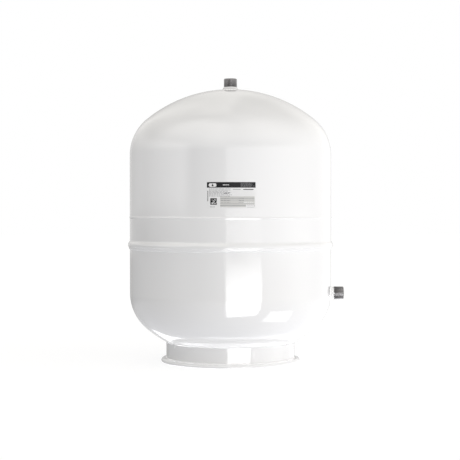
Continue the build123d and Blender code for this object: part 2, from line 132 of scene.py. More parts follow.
def studio_world():
    """A white studio: fill that falls off to the left, and soft boxes that show only as gloss."""
    world = bpy.data.worlds.new("studio")
    world.use_nodes = True
    scene.world = world
    tree = world.node_tree
    tree.nodes.clear()
    direction = node(tree, "ShaderNodeTexCoord").outputs["Generated"]
    split = node(tree, "ShaderNodeSeparateXYZ", i0=direction)
    right, back, up = split.outputs
    front = math_node(tree, "MULTIPLY", back, -1.0)
    azimuth = math_node(tree, "ARCTAN2", right, front)
    elevation = math_node(tree, "ARCSINE", up)

    def times(first, *others):
        for other in others:
            first = math_node(tree, "MULTIPLY", first, other)
        return first

    def above(angle, side):
        """0 to 1 across a soft edge; side is (degrees, softness)."""
        return ramp(tree, angle, math.radians(side[0] - side[1]), math.radians(side[0] + side[1]))

    def below(angle, side):
        """1 to 0 across a soft edge."""
        return ramp(tree, angle, math.radians(side[0] - side[1]), math.radians(side[0] + side[1]), 1.0, 0.0)

    def panel_height(facing):
        """Height angle up a flat panel that faces an azimuth in degrees."""
        turn = math.radians(facing)
        forward = math_node(tree, "ADD", times(front, math.cos(turn)), times(right, math.sin(turn)))
        return math_node(tree, "ARCTAN2", up, forward)

    def soft_box(left, right_side, bottom, top, strength, height=elevation):
        """Azimuth 0 is in front and positive to the right."""
        sides = times(above(azimuth, left), below(azimuth, right_side))
        return times(sides, times(above(height, bottom), below(height, top)), strength)

    def level(middle, slope):
        """Light that rises evenly from left to right."""
        rise = math_node(tree, "MULTIPLY_ADD", right, slope)
        rise.node.inputs[2].default_value = middle
        return rise

    # Fill is weaker behind the right side, and stronger on what is seen in a reflection.
    path = node(tree, "ShaderNodeLightPath")
    reflected_once = math_node(tree, "GREATER_THAN", path.outputs["Glossy Depth"], 0.5)
    reflected_twice = math_node(tree, "GREATER_THAN", path.outputs["Glossy Depth"], 1.5)
    far_side = times(ramp(tree, back, -0.1, 0.5), ramp(tree, right, 0.1, 0.8))
    fill = math_node(tree, "SUBTRACT", level(0.89, 0.49), times(far_side, 0.9))
    fill = math_node(tree, "ADD", fill, times(reflected_once, 0.8))
    gloss = math_node(tree, "ADD", level(0.62, 0.33), times(below(elevation, (-9, 4)), 0.5))

    # The two windows that show as sharp highlights. The side one's right edge leans.
    main_box = soft_box((-5.2, 0.3), (35, 0.4), (-47.5, 0.5), (10, 1), 9.0, panel_height(-5))
    side_box = soft_box((51, 0.5), (179, 1), (-55.2, 0.5), (-31.6, 0.5), 4.0, panel_height(50))
    leaning = math_node(tree, "ADD", azimuth, times(elevation, 0.57))

    # The bright ground behind the vessel, past the edge of its curved shadow.
    bulge = math_node(tree, "POWER", math_node(tree, "ABSOLUTE", right), 3.0)
    shadow_edge = times(bulge, ramp(tree, right, -0.02, 0.02, 9.7, 4.8))
    past_shadow = math_node(tree, "SUBTRACT", back, shadow_edge)
    ground_behind = times(ramp(tree, past_shadow, 0.325, 0.365), ramp(tree, right, -0.325, -0.3),
                          below(elevation, (-24, 3)), ramp(tree, right, 0.05, 0.16, 5.0, 1.2))

    # What the top of the dome mirrors, above and behind.
    above_back = times(ramp(tree, back, 0.35, 0.6), ramp(tree, right, 0.0, 0.2, 0.35, 0.0),
                       times(above(elevation, (22, 8)), below(elevation, (66, 8))),
                       ramp(tree, right, -0.3, -0.1))

    # Left side, right side, bottom, top, strength; the comment says what mirrors the box.
    rows = [
        ((-5, 1), (38, 7), (-1.75, 0.2), (-0.55, 0.3), 2.7),  # wall between the beads, middle
        ((-5, 1), (80, 30), (-0.55, 0.3), (14, 6), 1.4),  # upper wall, right of the middle
        ((38, 6), (95, 20), (-2.6, 0.4), (-0.4, 0.3), 0.7),  # wall between the beads, right
        ((38, 6), (95, 20), (-9, 3), (-0.4, 0.3), 0.7),  # lower wall, right
        ((-110, 45), (-49, 9), (-0.4, 0.3), (20, 10), 2.3),  # upper wall, left
        ((-125, 35), (-45, 15), (-7, 2), (-1.9, 0.3), 0.6),  # lower wall, left
        ((-110, 35), (80, 30), (30, 12), (75, 12), 1.0),  # shoulder
        ((-95, 20), (-5, 20), (13, 8), (75, 12), 1.4),  # shoulder, left
        ((-163, 8), (-60, 35), (12, 8), (58, 13), 0.85),  # dome, left
        ((-178, 2), (-140, 15), (60, 5), (72, 5), 0.5),  # dome, left of its middle
        ((-168, 6), (-118, 12), (-2.1, 0.3), (12, 6), 0.3),  # upper wall, left edge
        ((-178, 2), (-140, 15), (-26, 4), (-7, 4), -0.3),  # lower dome, left edge, darker
        ((75, 25), (160, 15), (-70, 15), (30, 20), 0.8),  # wall, right edge
        ((110, 20), (176, 3), (40, 10), (75, 10), -0.45),  # dome, right, darker
    ]
    # The box seen only after two reflections lights the line above the foot ring.
    boxes = [
        times(main_box, below(elevation, (-3.05, 0.62))),
        times(reflected_twice, below(elevation, (-38, 6)), 20.0),
        times(side_box, below(leaning, (64.5, 0.5))),
    ]
    boxes += [soft_box(*row) for row in rows] + [ground_behind, above_back]
    for box in boxes:
        gloss = math_node(tree, "ADD", gloss, box)
    seen = node(tree, "ShaderNodeMix", i0=path.outputs["Is Glossy Ray"], i2=fill, i3=gloss)
    seen = node(tree, "ShaderNodeMix", i0=path.outputs["Is Camera Ray"], i2=seen.outputs[0], i3=1.0)
    tint = node(tree, "ShaderNodeValToRGB", Fac=ramp(tree, up, -1.0, 1.0))
    tint.color_ramp.elements[0].color = (0.985, 0.99, 1.02, 1)
    tint.color_ramp.elements[1].color = (1.02, 1.0, 0.965, 1)
    background = node(tree, "ShaderNodeBackground", Strength=seen.outputs[0])
    white = node(tree, "ShaderNodeMix")
    white.data_type = "RGBA"
    tree.links.new(path.outputs["Is Camera Ray"], white.inputs["Factor"])
    tree.links.new(tint.outputs[0], white.inputs[6])
    white.inputs[7].default_value = (1, 1, 1, 1)
    tree.links.new(white.outputs[2], background.inputs["Color"])
    node(tree, "ShaderNodeOutputWorld", Surface=background.outputs[0])


def studio_floor():
    """Pale ground, nearly self-lit, that leaves the light on the vessel alone."""
    reach = 12.0
    gap_below = 0.1 * MM
    grey, glow = 0.25, 0.81
    corners = [(-reach, -reach, 0), (reach, -reach, 0), (reach, reach, 0), (-reach, reach, 0)]
    mesh = bpy.data.meshes.new("studio_floor")
    mesh.from_pydata(corners, [], [(0, 1, 2, 3)])
    floor = bpy.data.objects.new("studio_floor", mesh)
    floor.location.z = -gap_below
    scene.collection.objects.link(floor)
    material = bpy.data.materials.new("pale_floor")
    material.use_nodes = True
    shader = material.node_tree.nodes["Principled BSDF"]
    shader.inputs["Base Color"].default_value = (grey, grey, grey, 1)
    shader.inputs["Roughness"].default_value = 0.9
    shader.inputs["Specular IOR Level"].default_value = 0.0
    shader.inputs["Emission Color"].default_value = (1, 1, 1, 1)
    shader.inputs["Emission Strength"].default_value = glow
    mesh.materials.append(material)
    floor.visible_diffuse = False
    floor.visible_glossy = False
    floor.visible_shadow = False


studio_world()
studio_floor()


# ---------------------------------------------------------------- finishes

def finish_of(name, colour, roughness, **sockets):
    material = bpy.data.materials.new(name)
    material.use_nodes = True
    shader = material.node_tree.nodes["Principled BSDF"]
    shader.inputs["Base Color"].default_value = (*colour, 1)
    shader.inputs["Roughness"].default_value = roughness
    for key, value in sockets.items():
        shader.inputs[key.replace("_", " ")].default_value = value
    return material


def place_in(material, stretch=(1, 1, 1)):
    """The object's own coordinates, stretched."""
    tree = material.node_tree
    place = node(tree, "ShaderNodeTexCoord").outputs["Object"]
    if stretch == (1, 1, 1):
        return place
    return node(tree, "ShaderNodeMapping", Vector=place, Scale=stretch).outputs[0]


def mottle(material, socket, size, low, high, place=None, detail=2.0):
    """Varies a socket between low and high in soft patches of that size in metres."""
    tree = material.node_tree
    place = place or place_in(material)
    patches = node(tree, "ShaderNodeTexNoise", Vector=place, Scale=1 / size, Detail=detail)
    target = tree.nodes["Principled BSDF"].inputs[socket]
    if isinstance(low, tuple):
        colours = node(tree, "ShaderNodeValToRGB", Fac=patches.outputs[0])
        colours.color_ramp.elements[0].position = 0.3
        colours.color_ramp.elements[1].position = 0.7
        colours.color_ramp.elements[0].color = (*low, 1)
        colours.color_ramp.elements[1].color = (*high, 1)
        tree.links.new(colours.outputs[0], target)
    else:
        tree.links.new(ramp(tree, patches.outputs[0], 0.3, 0.7, low, high), target)


def relief(material, size, depth, place=None, detail=2.0, grain="ShaderNodeTexNoise"):
    """Adds a bump of that size and depth in metres on top of the bumps already there."""
    tree = material.node_tree
    place = place or place_in(material)
    shader = tree.nodes["Principled BSDF"]
    texture = node(tree, grain, Vector=place, Scale=1 / size)
    if grain == "ShaderNodeTexNoise":
        texture.inputs["Detail"].default_value = detail
    bump = node(tree, "ShaderNodeBump", Height=texture.outputs[0], Distance=depth, Strength=1.0)
    before = shader.inputs["Normal"].links
    if before:
        tree.links.new(before[0].from_socket, bump.inputs["Normal"])
    tree.links.new(bump.outputs[0], shader.inputs["Normal"])


def white_enamel(name, shade=1.0):
    """Sprayed enamel; a shade under 1 makes a greyer copy, used as painted shade."""
    thin, thick = (tuple(shade * part for part in colour) for colour in
                   ((0.852, 0.855, 0.858), (0.868, 0.866, 0.864)))
    material = finish_of(name, thick, 0.1, IOR=1.5)
    mottle(material, "Base Color", 0.35, thin, thick)
    mottle(material, "Roughness", 0.06, 0.07, 0.11)
    relief(material, 3.2 * MM, 0.0045 * MM)
    relief(material, 0.9 * MM, 0.0008 * MM)
    return material


def black_rubber():
    material = finish_of("black_rubber", (0.022, 0.022, 0.023), 0.62)
    mottle(material, "Base Color", 0.03, (0.018, 0.018, 0.019), (0.03, 0.029, 0.028), detail=6.0)
    mottle(material, "Roughness", 0.012, 0.55, 0.72)
    relief(material, 0.5 * MM, 0.02 * MM, detail=5.0)
    return material


def turned_metal(name, dull, bright, roughness, stretch):
    """Machined metal: fine rings round the axis that the stretch runs along, over soft tarnish."""
    material = finish_of(name, bright, roughness, Metallic=1.0)
    mottle(material, "Base Color", 4 * MM, dull, bright, detail=5.0)
    rings = place_in(material, stretch)
    mottle(material, "Roughness", 1.0, roughness - 0.08, roughness + 0.1, rings, detail=3.0)
    relief(material, 1.0, 0.003 * MM, rings, detail=3.0)
    return material


def dark_plastic():
    """Satin polyethylene; painted shade darkens the mouth and lightens the closed end."""
    material = finish_of("dark_plastic", (0.09, 0.086, 0.088), 0.3, IOR=1.5)
    tree = material.node_tree
    patches = node(tree, "ShaderNodeTexNoise", Vector=place_in(material), Scale=1 / (4 * MM), Detail=4.0)
    # Painted shade and light: the colour runs dark at the mouth to light at the closed end, with random
    # mottle.
    along = node(tree, "ShaderNodeAttribute")
    along.attribute_name = "towards_end"
    amount = math_node(tree, "MULTIPLY_ADD", patches.outputs[0], 0.12)
    tree.links.new(along.outputs["Fac"], amount.node.inputs[2])
    painted_shade_and_mottle = node(tree, "ShaderNodeValToRGB", Fac=amount)
    painted_shade_and_mottle.color_ramp.elements[0].position = 0.08
    painted_shade_and_mottle.color_ramp.elements[0].color = (0.03, 0.028, 0.029, 1)
    painted_shade_and_mottle.color_ramp.elements[1].position = 1.05 / 1.1
    painted_shade_and_mottle.color_ramp.elements[1].color = (0.19, 0.184, 0.186, 1)
    tree.links.new(painted_shade_and_mottle.outputs[0], tree.nodes["Principled BSDF"].inputs["Base Color"])
    mottle(material, "Roughness", 2 * MM, 0.24, 0.38)
    relief(material, 0.35 * MM, 0.006 * MM, detail=3.0)
    return material


def white_plastic():
    material = finish_of("white_plastic", (0.8, 0.79, 0.75), 0.35)
    mottle(material, "Base Color", 1 * MM, (0.78, 0.77, 0.73), (0.82, 0.81, 0.77))
    relief(material, 0.2 * MM, 0.002 * MM)
    return material


def printed_film(name, colour):
    material = finish_of(name, colour, 0.45, IOR=1.5, Specular_IOR_Level=0.12)
    darker = tuple(0.96 * part for part in colour)
    mottle(material, "Base Color", 1.5 * MM, darker, colour, detail=4.0)
    mottle(material, "Roughness", 6 * MM, 0.4, 0.52)
    relief(material, 0.4 * MM, 0.002 * MM)
    return material


inks = [
    printed_film("film_white", (0.84, 0.84, 0.84)),
    printed_film("film_black", (0.007, 0.007, 0.008)),
    printed_film("film_grey", (0.3, 0.3, 0.31)),
    printed_film("film_table", (0.64, 0.64, 0.62)),
]
WHITE, BLACK, GREY, TABLE = range(4)
finishes = {
    "white_enamel": white_enamel("white_enamel"),
    "black_rubber": black_rubber(),
    "plain_steel": turned_metal("plain_steel", (0.5, 0.5, 0.49), (0.66, 0.66, 0.65), 0.34,
                                (4000, 300, 300)),
    "spring_steel": turned_metal("spring_steel", (0.48, 0.48, 0.5), (0.62, 0.62, 0.64), 0.3,
                                 (900, 900, 9000)),
    "brass": turned_metal("brass", (0.62, 0.45, 0.19), (0.8, 0.62, 0.3), 0.28, (300, 300, 9000)),
    "white_plastic": white_plastic(),
    "dark_plastic": dark_plastic(),
    "printed_film": inks[WHITE],
}
# A greyer copy of the enamel: painted shade on the valve boss and its weld under the cap.
painted_shade_enamel = white_enamel("painted_shade_enamel", shade=0.84)
slot_of = {part["node"]: part["material_slot"] for part in frame["record"]["subparts"]}
for name, part in frame["nodes"].items():
    part.data.materials.clear()
    part.data.materials.append(finishes[slot_of[name]])


# ---------------------------------------------------------------- outlines, as (radius, height)

def arc(centre, radius, start, end, steps):
    """Points on an arc, angles in degrees, both ends included."""
    points = []
    for step in range(steps + 1):
        angle = math.radians(start + (end - start) * step / steps)
        points.append((centre[0] + radius * math.cos(angle), centre[1] + radius * math.sin(angle)))
    return points


def ogee(start, end, steps=6):
    """S-curve of two equal arcs that leaves start and reaches end along the wall."""
    half_x, half_z = (end[0] - start[0]) / 2, (end[1] - start[1]) / 2
    radius = (half_x**2 + half_z**2) / (2 * abs(half_x))
    turn = math.asin(abs(half_z) / radius)
    points = []
    for step in range(steps + 1):
        angle = turn * step / steps
        out = math.copysign(radius * (1 - math.cos(angle)), half_x)
        along = math.copysign(radius * math.sin(angle), half_z)
        points.append((start[0] + out, start[1] + along))
    mirrored = [(start[0] + end[0] - x, start[1] + end[1] - z) for x, z in reversed(points[:-1])]
    return points + mirrored


def arc_through(start, middle, end, steps):
    """Points on the arc from start through middle to end."""
    first, second, third = Vector(start), Vector(middle), Vector(end)
    to_second, to_third = second - first, third - first
    area = 2 * to_second.cross(to_third)
    across = to_second.length_squared * Vector((to_third.y, -to_third.x))
    across -= to_third.length_squared * Vector((to_second.y, -to_second.x))
    centre = first + across / area
    spoke = first - centre
    turn = -(spoke.angle_signed(second - centre) + (second - centre).angle_signed(third - centre))
    points = []
    for step in range(steps + 1):
        turned_spoke = spoke.copy()
        turned_spoke.rotate(Matrix.Rotation(turn * step / steps, 2))
        points.append(tuple(centre + turned_spoke))
    return points


def dome(radius, crown, knuckle, tangent_z, side, hole=0.0, steps=(34, 22)):
    """Crown and knuckle from the hole's edge to the tangent line; side is 1 for a top, -1 for a bottom."""
    reach = radius - knuckle
    rise = math.sqrt((crown - knuckle) ** 2 - reach**2)
    turn = math.degrees(math.atan2(rise, reach))
    start = math.degrees(math.acos(hole / crown))
    crown_arc = arc((0, tangent_z - side * rise), crown, side * start, side * turn, steps[0])
    return crown_arc + arc((reach, tangent_z), knuckle, side * turn, 0, steps[1])[1:]


def softened(corners, steps=4):
    """A closed outline; each corner is (radius, height) or (radius, height, rounding)."""
    points = []
    count = len(corners)
    for index, corner in enumerate(corners):
        here = Vector(corner[:2])
        rounding = corner[2] if len(corner) > 2 else 0.0
        if not rounding:
            points.append(tuple(here))
            continue
        to_last = (Vector(corners[index - 1][:2]) - here).normalized()
        to_next = (Vector(corners[(index + 1) % count][:2]) - here).normalized()
        half = to_last.angle(to_next) / 2
        centre = here + (to_last + to_next).normalized() * rounding / math.sin(half)
        first = here + to_last * rounding / math.tan(half) - centre
        last = here + to_next * rounding / math.tan(half) - centre
        turn = first.angle_signed(last)
        for step in range(steps + 1):
            spoke = first.copy()
            spoke.rotate(Matrix.Rotation(-turn * step / steps, 2))
            points.append(tuple(centre + spoke))
    return points


# ---------------------------------------------------------------- mesh helpers

def add_piece(name, mesh, slot, body="tank", replaces=(), sharp=35.0, finish=None):
    """Shades a finished mesh, gives it its finish and rides it on its body."""
    work = bmesh.new()
    work.from_mesh(mesh)
    bmesh.ops.recalc_face_normals(work, faces=work.faces)
    for face in work.faces:
        face.smooth = True
    for edge in work.edges:
        edge.smooth = len(edge.link_faces) == 2 and edge.calc_face_angle(0) < math.radians(sharp)
    work.to_mesh(mesh)
    work.free()
    piece = bpy.data.objects.new(name, mesh)
    scene.collection.objects.link(piece)
    flat_first = piece.modifiers.new("flat faces first", "WEIGHTED_NORMAL")
    flat_first.keep_sharp = True
    if not mesh.materials:
        mesh.materials.append(finish or finishes[slot])
    if replaces:
        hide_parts(*replaces)
    if body:
        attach(piece, body)
    return piece


def lathe(outline, steps, closed=True, shift=None):
    """Vertices and faces of an outline turned about Z; shift(angle, index) gives a point's extra
    (radius, height)."""
    rows = []
    verts = []
    for step in range(steps):
        angle = TURN * step / steps
        row = []
        for index, (radius, height) in enumerate(outline):
            if shift:
                extra = shift(angle, index)
                radius, height = radius + extra[0], height + extra[1]
            row.append(len(verts))
            verts.append((radius * math.cos(angle), radius * math.sin(angle), height))
        rows.append(row)
    faces = []
    count = len(outline)
    for step in range(steps):
        this, other = rows[step], rows[(step + 1) % steps]
        for index in range(count if closed else count - 1):
            after = (index + 1) % count
            faces.append((this[index], other[index], other[after], this[after]))
    return verts, faces


def mesh_from(name, verts, faces, merge=1e-6):
    mesh = bpy.data.meshes.new(name)
    mesh.from_pydata(verts, [], faces)
    work = bmesh.new()
    work.from_mesh(mesh)
    bmesh.ops.remove_doubles(work, verts=work.verts, dist=merge)
    bmesh.ops.dissolve_degenerate(work, edges=work.edges, dist=merge)
    work.to_mesh(mesh)
    work.free()
    return mesh


def laid_along_x(verts):
    """Turns vertices about Z into vertices about the water connection's axis."""
    return [(z, y, connection_z - x) for x, y, z in verts]


def turned(name, outline, steps, slot, axis="Z", shift=None, **options):
    """A turned piece about Z, or with axis "X" about the water connection's axis."""
    verts, faces = lathe(outline, steps, shift=shift)
    if axis == "X":
        verts = laid_along_x(verts)
    return add_piece(name, mesh_from(name, verts, faces), slot, **options)


def cut_away(piece_mesh, cutter_verts, cutter_faces):
    """The mesh less a cutter, by an exact boolean."""
    body = bpy.data.objects.new("cut_body", piece_mesh)
    tool = bpy.data.objects.new("cut_tool", mesh_from("cut_tool", cutter_verts, cutter_faces))
    for thing in (body, tool):
        scene.collection.objects.link(thing)
    cut = body.modifiers.new("cut", "BOOLEAN")
    cut.operation = "DIFFERENCE"
    cut.solver = "EXACT"
    cut.object = tool
    made = bpy.data.meshes.new_from_object(body.evaluated_get(bpy.context.evaluated_depsgraph_get()))
    for thing in (body, tool):
        bpy.data.objects.remove(thing)
    return made


# ---------------------------------------------------------------- tank

shell_steps = 256


def upper_skin(inset, hole):
    wall = tank_radius - inset
    skin = dome(wall, crown_radius - inset, knuckle_radius - inset, top_tangent_z, 1, hole)
    skin += ogee((wall, groove_z + groove_reach), (wall + groove_depth, groove_z))
    skin += ogee((wall + groove_depth, groove_z), (wall, groove_z - groove_reach))[1:]
    return skin + ogee((wall, flare_top_z), (wall + flare, flare_bottom_z))


flare_top_z = 272 * MM
flare_bottom_z = 262 * MM
rim_edge_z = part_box("upper_shell")[0].z
rim_round_z = rim_edge_z + 2.6 * MM
rim_round = 1.4 * MM
boss_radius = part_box("valve_boss")[1].x
rim_radius = tank_radius + flare

upper_outline = upper_skin(0, boss_radius)
upper_outline += softened([(rim_radius, rim_round_z), (rim_radius, rim_edge_z, rim_round),
                           (rim_radius - sheet, rim_edge_z)])[:-1]
upper_outline.append((rim_radius - sheet, rim_edge_z))
upper_outline += list(reversed(upper_skin(sheet, boss_radius)))
turned("tank_upper_half", upper_outline, shell_steps, "white_enamel", replaces=["upper_shell"])


def lower_skin(inset):
    wall = tank_radius - inset
    neck = tank_radius - sheet - 0.3 * MM - inset
    skin = dome(wall, crown_radius - inset, knuckle_radius - inset, bottom_tangent_z, -1)
    skin.append((wall, (bottom_tangent_z + neck_start_z) / 2))
    skin += ogee((wall, neck_start_z), (neck, neck_end_z))
    return skin + [(neck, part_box("lower_shell")[1].z)]


neck_start_z = 258.5 * MM
neck_end_z = 266 * MM
nipple_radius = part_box("water_nipple")[1].y
lower_verts, lower_faces = lathe(lower_skin(0) + list(reversed(lower_skin(sheet))), shell_steps)
hole_start, hole_end = tank_radius - 20 * MM, tank_radius + 20 * MM
hole_outline = [(0, hole_start), (nipple_radius, hole_start), (nipple_radius, hole_end), (0, hole_end)]
hole_verts, hole_faces = lathe(hole_outline, 64)
lower_mesh = mesh_from("tank_lower_half", lower_verts, lower_faces)
lower_mesh = cut_away(lower_mesh, laid_along_x(hole_verts), hole_faces)
add_piece("tank_lower_half", lower_mesh, "white_enamel", replaces=["lower_shell"])


# ---------------------------------------------------------------- welds

def weld_bead(foot, middle, top, back, ripples, depth):
    """A fillet weld's closed outline and the shift that ripples its face in crescents."""
    face = arc_through(foot, middle, top, 8)
    last = len(face) - 1
    chord = Vector(top) - Vector(foot)
    out = Vector((abs(chord.y), abs(chord.x))).normalized()

    def shift(angle, index):
        if index >= last:
            return 0.0, 0.0
        across = math.sin(math.pi * index / last)
        wander = noise.noise(Vector((5 * math.cos(angle), 5 * math.sin(angle), ripples / 10)))
        lift = depth * across * (1 + 0.6 * wander) * math.cos(ripples * angle + 1.8 * across + 2.5 * wander)
        return out.x * lift, out.y * lift

    return face + back, shift


ripple_steps = 6
seam_ripple, fillet_ripple = 0.09 * MM, 0.14 * MM
seam_top = (tank_radius + flare - sheet + 0.2 * MM, rim_edge_z)
seam_foot = (tank_radius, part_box("seam_weld")[0].z)
seam_middle = (tank_radius + 1.9 * MM, 253.2 * MM)
seam_ripples = 520
seam_outline, seam_shift = weld_bead(seam_foot, seam_middle, seam_top, [(tank_radius, rim_edge_z)],
                                     seam_ripples, seam_ripple)
turned("girth_weld", seam_outline, seam_ripples * ripple_steps, "white_enamel",
       shift=seam_shift, replaces=["seam_weld"], sharp=50)

boss_weld_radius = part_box("valve_boss_weld")[1].x
boss_weld_top_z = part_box("valve_boss_weld")[1].z
top_apex_z = top_tangent_z + crown_radius - math.sqrt(
    (crown_radius - knuckle_radius) ** 2 - (tank_radius - knuckle_radius) ** 2)
boss_ripples = 44
boss_weld_outline, boss_weld_shift = weld_bead(
    (boss_weld_radius, top_apex_z - 0.6 * MM), (boss_radius + 1.5 * MM, top_apex_z + 2 * MM),
    (boss_radius, boss_weld_top_z),
    [(boss_radius, top_apex_z - sheet), (boss_weld_radius, top_apex_z - sheet)],
    boss_ripples, fillet_ripple)
# This weld wears the greyer enamel, painted shade under the cap.
turned("boss_fillet_weld", boss_weld_outline, boss_ripples * ripple_steps, "white_enamel",
       shift=boss_weld_shift, replaces=["valve_boss_weld"], sharp=50, finish=painted_shade_enamel)

nipple_weld_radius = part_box("water_nipple_weld")[1].y
nipple_weld_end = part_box("water_nipple_weld")[1].x
nipple_ripples = 42
nipple_weld_outline, nipple_weld_shift = weld_bead(
    (nipple_weld_radius, tank_radius), (nipple_radius + 1.6 * MM, tank_radius + 2.5 * MM),
    (nipple_radius, nipple_weld_end),
    [(nipple_radius, tank_radius - sheet), (nipple_weld_radius, tank_radius - sheet)],
    nipple_ripples, fillet_ripple)
nipple_weld = turned("nipple_fillet_weld", nipple_weld_outline, nipple_ripples * ripple_steps,
                     "white_enamel", shift=nipple_weld_shift, axis="X",
                     replaces=["water_nipple_weld"], sharp=50)
# The foot of this weld follows the round wall.
for vertex in nipple_weld.data.vertices:
    above_wall = vertex.co.x - (tank_radius - sheet)
    settle = 1 - min(1, max(0, (above_wall - sheet) / (nipple_weld_end - tank_radius)))
    vertex.co.x -= settle * (tank_radius - math.sqrt(tank_radius**2 - vertex.co.y**2))


# ---------------------------------------------------------------- foot

foot_radius = 143.7 * MM
foot_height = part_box("foot_ring")[1].z
lip_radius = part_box("foot_ring")[1].x
lip_top_z = 8.4 * MM
lip_inner_radius = 146.5 * MM
lip_fillet = 2 * MM
lip_shoulder = 5.8 * MM
lip_heel = 2.6 * MM
cut_round = 0.45 * MM


def foot_outline():
    fillet_centre = (foot_radius + lip_fillet, lip_top_z + lip_fillet)
    shoulder_centre = (lip_radius - lip_shoulder, lip_top_z - lip_shoulder)
    heel_centre = (lip_radius - lip_heel, lip_heel)
    outer = arc(fillet_centre, lip_fillet, 180, 270, 8) + arc(shoulder_centre, lip_shoulder, 90, 0, 12)
    outer += arc(heel_centre, lip_heel, 0, -90, 8)
    inner = arc(heel_centre, lip_heel - sheet, -90, 0, 6)
    inner += arc(shoulder_centre, lip_shoulder - sheet, 0, 90, 10)
    inner += arc(fillet_centre, lip_fillet + sheet, 270, 180, 8)
    corners = [(foot_radius - sheet, foot_height, cut_round), (foot_radius, foot_height, cut_round)]
    corners += outer + [(lip_inner_radius, 0, cut_round), (lip_inner_radius, sheet, cut_round)] + inner
    return softened(corners)


turned("rolled_foot_ring", foot_outline(), shell_steps, "white_enamel", replaces=["foot_ring"])


def tack_welds():
    """Three lumps of weld between the ring's wall and the dome."""
    first_angle = math.radians(-148.5)
    half_width, half_height = 4.5 * MM, 4.6 * MM
    centre_z = 41.4 * MM
    sunk, dome_height = 0.3 * MM, 1.5 * MM
    ripple_depth, ripple_pitch, ripple_bow = 0.09 * MM, 1.7 * MM, 9 * MM
    lump_depth, lump_size = 0.12 * MM, 2.5 * MM
    spokes, rings = 40, 10
    verts, faces = [], []
    for tack in range(3):
        middle_angle = first_angle + TURN * tack / 3
        start = len(verts)
        for ring in range(rings + 1):
            reach = math.sin(math.pi / 2 * ring / rings)
            for spoke in range(spokes):
                angle = TURN * spoke / spokes
                side = half_width * reach * math.cos(angle)
                height = half_height * reach * math.sin(angle)
                ripple = math.cos(TURN * (side + height**2 / ripple_bow) / ripple_pitch) * (1 - reach**2)
                lump = noise.noise(Vector((side, height, tack * MM)) / lump_size) * (1 - reach)
                radius = foot_radius - sunk + dome_height * math.sqrt(1 - reach**2)
                radius += ripple_depth * ripple + lump_depth * lump
                around = middle_angle + side / foot_radius
                verts.append((radius * math.cos(around), radius * math.sin(around), centre_z + height))
        for ring in range(rings):
            for spoke in range(spokes):
                this, after = start + ring * spokes, (spoke + 1) % spokes
                faces.append((this + spoke, this + after, this + spokes + after, this + spokes + spoke))
        faces.append(tuple(start + rings * spokes + spoke for spoke in range(spokes)))
    return mesh_from("ring_tack_welds", verts, faces)


add_piece("ring_tack_welds", tack_welds(), "white_enamel", replaces=["foot_tack_welds"], sharp=50)


# ---------------------------------------------------------------- threads

def thread_skin(start, end, crest, pitch, depth, half_width, steps, end_chamfer, cuts=12):
    """Vertices and faces of a right-hand V thread about Z that fades in at start and is chamfered at end."""
    rows = math.ceil(cuts * ((end - start) / pitch + 2))
    verts, faces = [], []
    for step in range(steps + 1):
        angle = TURN * step / steps
        for row in range(rows + 1):
            place = (row / cuts - 1 + step / steps) * pitch
            height = min(end, max(start, start + place))
            off_centre = abs(row % cuts / cuts - 0.5) * pitch
            fade = min(1, (height - start) / pitch, max(0, (end - height) / (0.2 * pitch)))
            radius = crest - depth * fade * max(0, 1 - off_centre / half_width)
            radius = min(radius, crest - max(0, height - (end - end_chamfer)))
            verts.append((radius * math.cos(angle), radius * math.sin(angle), height))
    for step in range(steps):
        for row in range(rows):
            this = step * (rows + 1) + row
            faces.append((this, this + rows + 1, this + rows + 2, this + 1))
    return verts, faces


def joined(*parts):
    """Several (vertices, faces) as one."""
    verts, faces = [], []
    for part_verts, part_faces in parts:
        offset = len(verts)
        verts += part_verts
        faces += [tuple(index + offset for index in face) for face in part_faces]
    return verts, faces


# ---------------------------------------------------------------- gas valve

valve_steps = 96
boss_low, boss_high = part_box("valve_boss")
spigot_radius = 13.43 * MM
shoulder_z = 613.2 * MM
seat_z = boss_high.z - 1.2 * MM
boss_outline = softened([
    (5 * MM, boss_low.z, 0.3 * MM), (boss_radius, boss_low.z, 0.5 * MM), (boss_radius, shoulder_z, 0.5 * MM),
    (spigot_radius, shoulder_z, 0.2 * MM), (spigot_radius, boss_high.z, 0.4 * MM),
    (6.8 * MM, boss_high.z, 0.2 * MM), (6.8 * MM, seat_z), (5 * MM, seat_z, 0.2 * MM),
])
# The boss wears the greyer enamel, painted shade under the cap.
turned("gas_valve_boss", boss_outline, valve_steps, "white_enamel", replaces=["valve_boss"],
       finish=painted_shade_enamel)

stem_low, stem_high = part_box("valve_stem")
hex_bottom_z, hex_top_z = 617.8 * MM, 620.6 * MM
hex_apothem = 6.5 * MM
shank_radius = 4.95 * MM
stem_radius = 3.85 * MM
stem_bore, stem_passage = 2.65 * MM, 2.0 * MM
hex_chamfer, shank_chamfer, tip_chamfer = 0.35 * MM, 0.3 * MM, 0.3 * MM
hex_corner = hex_apothem / math.cos(math.pi / 6)


